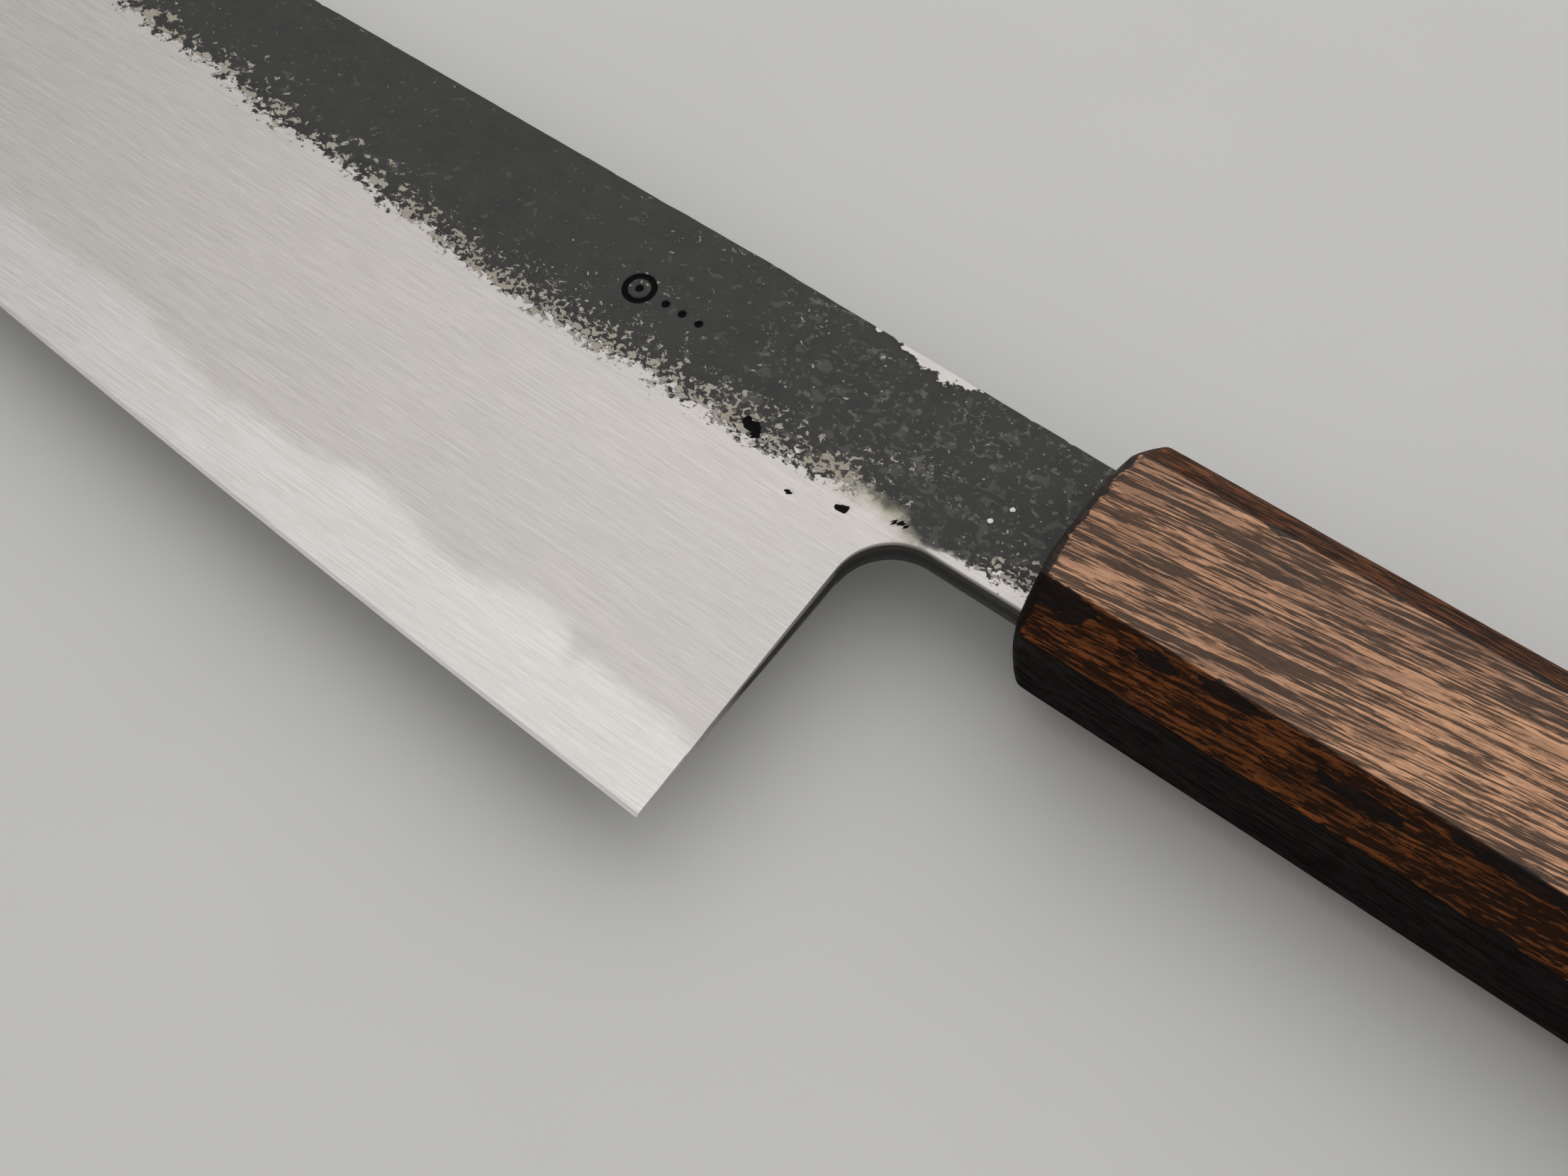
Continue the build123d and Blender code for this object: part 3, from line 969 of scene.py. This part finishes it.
def cladding_finish(name):
    """Soft iron: black forge scale with bare flecks over the upper part, a torn lower limit,
    and a ground face below it."""
    finish = Finish(name)
    ground, ground_rough, ground_height = ground_steel(finish)
    field, wall, ahead, rise, soft = finish.values("scale", "wall", "ahead", "rise", "soft")

    # The torn limit dissolves into spikes and loose flakes, except where it was ground softly
    # behind the heel.
    hard = finish.rest(finish.times(soft, 0.85))
    torn_neck = finish.most(finish.ramp(ahead, -4.5, -2.0), finish.ramp(ahead, -8.0, -12.0))
    torn_neck = finish.most(torn_neck, 0.2)
    hard = finish.times(hard, torn_neck)
    tear = finish.noise((0.7, 0.55, 0.6), detail=6.0, rough=0.7, warp=0.35)
    flakes = finish.noise((1.3, 1.0, 1.2), detail=2.0, warp=0.5)
    ragged = finish.total((tear, 7.0), (flakes, 3.0))
    ragged = finish.times(finish.plus(ragged, -5.0), hard)
    edge = finish.plus(field, ragged)
    spread = finish.plus(finish.times(soft, 0.9), 0.1)
    covered = finish.ramp(edge, finish.times(spread, -1.0), spread)

    # Bare flecks, dense near the limit and sparse higher up, and dull ones near the neck.
    far = finish.ramp(ahead, 35.0, 75.0)
    small_spots = finish.noise((0.68, 0.55, 0.6), detail=5.0, rough=0.6, warp=0.5)
    large_spots = finish.noise((1.2, 0.95, 1.1), detail=5.0, rough=0.62, warp=0.3)
    small_share = finish.times(small_spots, finish.rest(far))
    spots = finish.plus(small_share, finish.times(large_spots, far))
    nearness = finish.ramp(rise, -0.5, 6.5, 1.0, 0.0)
    nearness = finish.times(nearness, finish.ramp(hard, 0.1, 0.9, 0.15, 1.0))
    patches = finish.noise((6.5, 3.5, 5.0), detail=2.0)
    level = finish.total((nearness, 0.18), (patches, 0.16), (spots, 1.0), (far, -0.02))
    fleck = finish.ramp(level, 0.735, 0.76)
    dull_spots = finish.noise((0.8, 0.7, 0.75), detail=4.0, rough=0.6, warp=0.35)
    neck_side = finish.ramp(ahead, 42.0, 6.0, 0.0, 0.075)
    dull = finish.ramp(finish.total((dull_spots, 1.0), (neck_side, 1.0), (patches, 0.14)), 0.735, 0.765)

    skin = finish.noise((2.6, 1.8, 2.2), detail=5.0, rough=0.6)
    fine = finish.noise((0.22, 0.22, 0.22), detail=3.0, rough=0.7)
    blister = finish.noise((1.6, 1.3, 1.5), detail=3.0, rough=0.5, warp=0.7)
    blister = finish.total((blister, 1.0), (neck_side, 0.8), (finish.ramp(rise, 14.0, 4.0), 0.03))
    blister = finish.ramp(blister, 0.655, 0.69)
    thin = finish.ramp(edge, 0.1, 2.2, 0.8, 0.0)
    scale_tone = finish.coats(
        scale_skin(finish, skin),
        (finish.ramp(fine, 0.4, 0.75, 0.0, 0.3), (0.27, 0.27, 0.265)),
        (finish.times(blister, 0.4), (0.34, 0.34, 0.33)),
        (finish.times(dull, 0.65), (0.38, 0.38, 0.37)),
        (finish.times(thin, hard), (0.13, 0.13, 0.125)),
    )
    warm = finish.mix(patches, (0.66, 0.65, 0.62), (0.58, 0.55, 0.49))
    scale_tone = finish.mix(fleck, scale_tone, warm)
    olive = finish.times(soft, finish.ramp(edge, -3.0, 0.4))
    ground = finish.coats(ground, (finish.times(olive, 0.9), (0.53, 0.52, 0.44)))
    tone = finish.mix(covered, ground, scale_tone)
    bare = finish.rest(covered)
    shiny = finish.total((fleck, 0.55), (dull, 0.15))
    metal = finish.most(bare, shiny)

    # Side walls at the neck and choil are eased and painted black: forge scale with painted shade; stamp
    # and pits hold dark scale.
    lower_wall = finish.times(wall, finish.ramp(rise, 11.0, 19.0, 1.0, 0.0))
    tone = finish.mix(lower_wall, tone, rim_scale_and_shade(finish, skin))
    cut = finish.most(*finish.values("stamp", "pit"))
    cut = finish.ramp(cut, 0.3, 0.55)
    tone = finish.coats(tone, (cut, (0.035, 0.035, 0.036)))
    metal = finish.times(metal, finish.rest(cut))
    metal = finish.times(metal, finish.rest(lower_wall))
    metal = finish.most(metal, 0.12)

    scale_rough = finish.total((fleck, -0.1), (dull, -0.04), (fine, 0.12))
    scale_rough = finish.times(finish.plus(scale_rough, 0.22), covered)
    rough = finish.total((ground_rough, 1.0), (scale_rough, 1.0), (cut, 0.4))
    gloss = finish.ramp(cut, 0.0, 1.0, 0.5, 0.15)
    normal = finish.bump(ground_height, 0.006)
    step = finish.total((fleck, -0.35), (dull, -0.15), (blister, -0.3), (skin, 0.5), (fine, 0.12))
    step = finish.times(finish.plus(step, 0.6), covered)
    normal = finish.bump(step, 0.06, normal)
    return finish.shade(
        base_color=tone, roughness=rough, metallic=metal, specular_ior_level=gloss, normal=normal
    )


def wood_finish():
    """Flame-burnt wood: tan with brown pores on the upper facets, nearly black where the flame caught
    it; by facet, red-brown bevels and nearly black narrow sides, partly burnt wood and partly painted
    shade."""
    finish = Finish("burnt_wood_grain")
    pore, burn, facet, end = finish.values("pore", "burn", "facet", "end")

    def grain(long, across, **settings):
        """Noise stretched along the grain."""
        return finish.noise((long, across, across), grain_angle, **settings)

    streak = grain(26.0, 0.9, detail=4.0, rough=0.6)
    fibre = grain(5.0, 0.13, detail=3.0, rough=0.65)
    short = grain(5.5, 0.25, detail=3.0, rough=0.62, warp=0.12)
    long = grain(14.0, 0.46, detail=4.0, rough=0.62, warp=0.2)
    crowd = grain(17.0, 2.2, detail=2.0)
    short = finish.ramp(finish.total((short, 1.0), (crowd, 0.3)), 0.645, 0.70)
    long = finish.ramp(finish.total((long, 1.0), (crowd, 0.2)), 0.60, 0.67)
    vessel = finish.most(short, long)
    figure = grain(60.0, 4.5, detail=3.0, warp=0.3)
    soot = grain(3.2, 0.8, detail=4.0, rough=0.6)
    mottle = grain(1.5, 0.26, detail=3.0, rough=0.65)

    tan = finish.mix(streak, (0.56, 0.39, 0.29), (0.91, 0.695, 0.53))
    tan = finish.coats(
        tan,
        (finish.ramp(figure, 0.4, 0.7, 0.0, 0.6), (0.43, 0.31, 0.25)),
        (finish.ramp(fibre, 0.45, 0.75, 0.0, 0.5), (0.33, 0.235, 0.185)),
        (finish.ramp(mottle, 0.48, 0.68, 0.0, 0.5), (0.36, 0.25, 0.19)),
    )
    # Bevels red-brown and narrow sides nearly black, with darker pores there: partly burnt wood, partly
    # painted shade.
    red = finish.mix(streak, (0.15, 0.08, 0.04), (0.55, 0.31, 0.14))
    red = finish.coats(
        red,
        (finish.ramp(fibre, 0.45, 0.75, 0.0, 0.7), (0.09, 0.05, 0.035)),
        (finish.ramp(mottle, 0.5, 0.7, 0.0, 0.4), (0.10, 0.055, 0.035)),
    )
    black = finish.mix(streak, (0.03, 0.022, 0.018), (0.085, 0.055, 0.04))
    upper = finish.ramp(facet, 0.75, 0.95)
    tone = finish.mix(finish.ramp(facet, 0.2, 0.4), black, red)
    tone = finish.mix(upper, tone, tan)
    pore_tone = finish.mix(upper, (0.035, 0.024, 0.018), (0.115, 0.078, 0.06))
    open_pore = finish.most(finish.times(pore, 0.45), vessel)
    tone = finish.mix(finish.times(open_pore, 0.88), tone, pore_tone)
    char = finish.total((burn, 1.0), (soot, 0.7))
    char = finish.ramp(char, 0.85, 1.1)
    tone = finish.coats(
        tone, (finish.times(char, 0.94), (0.07, 0.055, 0.05)), (end, (0.10, 0.07, 0.06))
    )

    rough = finish.total((open_pore, 0.16), (fibre, 0.1), (char, -0.04))
    rough = finish.plus(rough, 0.46)
    height = finish.total((fibre, 0.4), (streak, 0.3), (vessel, -0.6))
    normal = finish.bump(height, 0.07)
    gloss = finish.ramp(facet, 0.4, 0.9, 0.05, 0.35)
    return finish.shade(base_color=tone, roughness=rough, specular_ior_level=gloss, normal=normal)


def resin_finish(name, low, high, rough_low):
    """Hardened resin: dark and a little glossy, with a faint ripple."""
    finish = Finish(name)
    ripple = finish.noise((1.4, 1.4, 1.4), detail=3.0)
    speck = finish.noise((0.3, 0.3, 0.3), detail=2.0)
    tone = finish.mix(ripple, low, high)
    rough = finish.plus(finish.total((ripple, 0.15), (speck, 0.1)), rough_low)
    normal = finish.bump(finish.total((ripple, 1.0), (speck, 0.3)), 0.05)
    return finish.shade(base_color=tone, roughness=rough, normal=normal)


# ---- The knife ----

# Rises and dips of the marked side's weld line, as (middle, width, rise).
marked_lobes = ((42.0, 5.0, 0.9), (21.0, 4.6, 1.3), (14.6, 1.2, -0.9), (7.0, 3.0, 0.3))
marked_lobes += ((31.0, 3.6, -0.9), (62.0, 9.0, -1.5), (92.0, 6.0, 0.4))
marked_seed = 101
plain_seed = 301
layer_sides = ((1, marked_seed, marked_lobes), (-1, plain_seed, ()))
root = "root"

left = cladding("cladding_left_forged", 1, marked_seed, marked_lobes)
right = cladding("cladding_right_forged", -1, plain_seed, ())
core_piece = core("core_steel_edge", layer_sides)
wood = handle("handle_wood", 501)
bead = seal("neck_seal_bead")

left.data.materials.append(cladding_finish("cladding_iron_marked"))
right.data.materials.append(cladding_finish("cladding_iron_plain"))
core_piece.data.materials.append(core_finish())
wood.data.materials.append(wood_finish())
bead.data.materials.append(
    resin_finish("seal_resin_black", (0.05, 0.045, 0.04), (0.11, 0.1, 0.095), 0.28)
)
adhesive = resin_finish("adhesive_amber", (0.42, 0.33, 0.2), (0.55, 0.45, 0.3), 0.35)
adhesive_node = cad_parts["tang_adhesive"]
for material_slot in adhesive_node.material_slots:
    material_slot.material = adhesive

for piece, node, slot in (
    (left, "cladding_left", "cladding_iron"),
    (right, "cladding_right", "cladding_iron"),
    (core_piece, "core_steel", "core_steel"),
    (wood, "handle_body", "burnt_wood"),
    (bead, "neck_seal", "seal_resin"),
):
    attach(piece, root)
    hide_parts(node)

# ---- Floor, light and camera ----

floor_mesh = bpy.data.meshes.new("floor")
floor_reach = 12.0
corners = [(-floor_reach, -floor_reach, 0), (floor_reach, -floor_reach, 0)]
corners += [(floor_reach, floor_reach, 0), (-floor_reach, floor_reach, 0)]
floor_mesh.from_pydata(corners, [], [(0, 1, 2, 3)])
floor = add_object("floor", floor_mesh)
floor_finish = Finish("floor_pale", roughness=0.9)
floor_clouds = floor_finish.noise((60.0, 60.0, 60.0))
floor_tone = floor_finish.mix(floor_clouds, (0.74, 0.74, 0.735), (0.77, 0.77, 0.765))
floor_mesh.materials.append(floor_finish.shade(base_color=floor_tone))

# A large square soft light faces the knife's middle.
key = bpy.data.lights.new("key", "AREA")
key.energy, key.shape, key.size, key.color = 8.7, "SQUARE", 2.0, (1.0, 0.99, 0.97)
key_holder = add_object("key", key)
key_holder.location = (0.05, 0.68, 0.78)
toward = key_holder.location - Vector((0.04, 0.0, 0.01))
key_holder.rotation_euler = toward.to_track_quat("Z", "Y").to_euler()

# The sky is a soft dome, bright overhead and darker towards the horizon.
world = bpy.data.worlds.new("studio")
world.use_nodes = True
sky = world.node_tree
direction = sky.nodes.new("ShaderNodeTexCoord")
split = sky.nodes.new("ShaderNodeSeparateXYZ")
rise = sky.nodes.new("ShaderNodeMapRange")
rise.interpolation_type = "SMOOTHSTEP"
for socket, value in (("From Min", 0.1), ("From Max", 0.8), ("To Min", 0.18), ("To Max", 0.84)):
    rise.inputs[socket].default_value = value
sky.links.new(direction.outputs["Generated"], split.inputs["Vector"])
sky.links.new(split.outputs["Z"], rise.inputs["Value"])
sky.links.new(rise.outputs["Result"], sky.nodes["Background"].inputs["Strength"])
sky.nodes["Background"].inputs["Color"].default_value = (1.0, 0.988, 0.975, 1.0)
bpy.context.scene.world = world
bpy.context.scene.view_settings.view_transform = "Standard"

camera = bpy.data.cameras.new("camera")
camera.lens = 44.288
camera.sensor_width = 36.0
camera.clip_start = 0.01
camera_holder = add_object("camera", camera)
camera_holder.location = (0.097156, -0.059027, 0.166376)
camera_holder.rotation_euler = [math.radians(angle) for angle in (27.5295, 4.7019, 37.8839)]
bpy.context.scene.camera = camera_holder
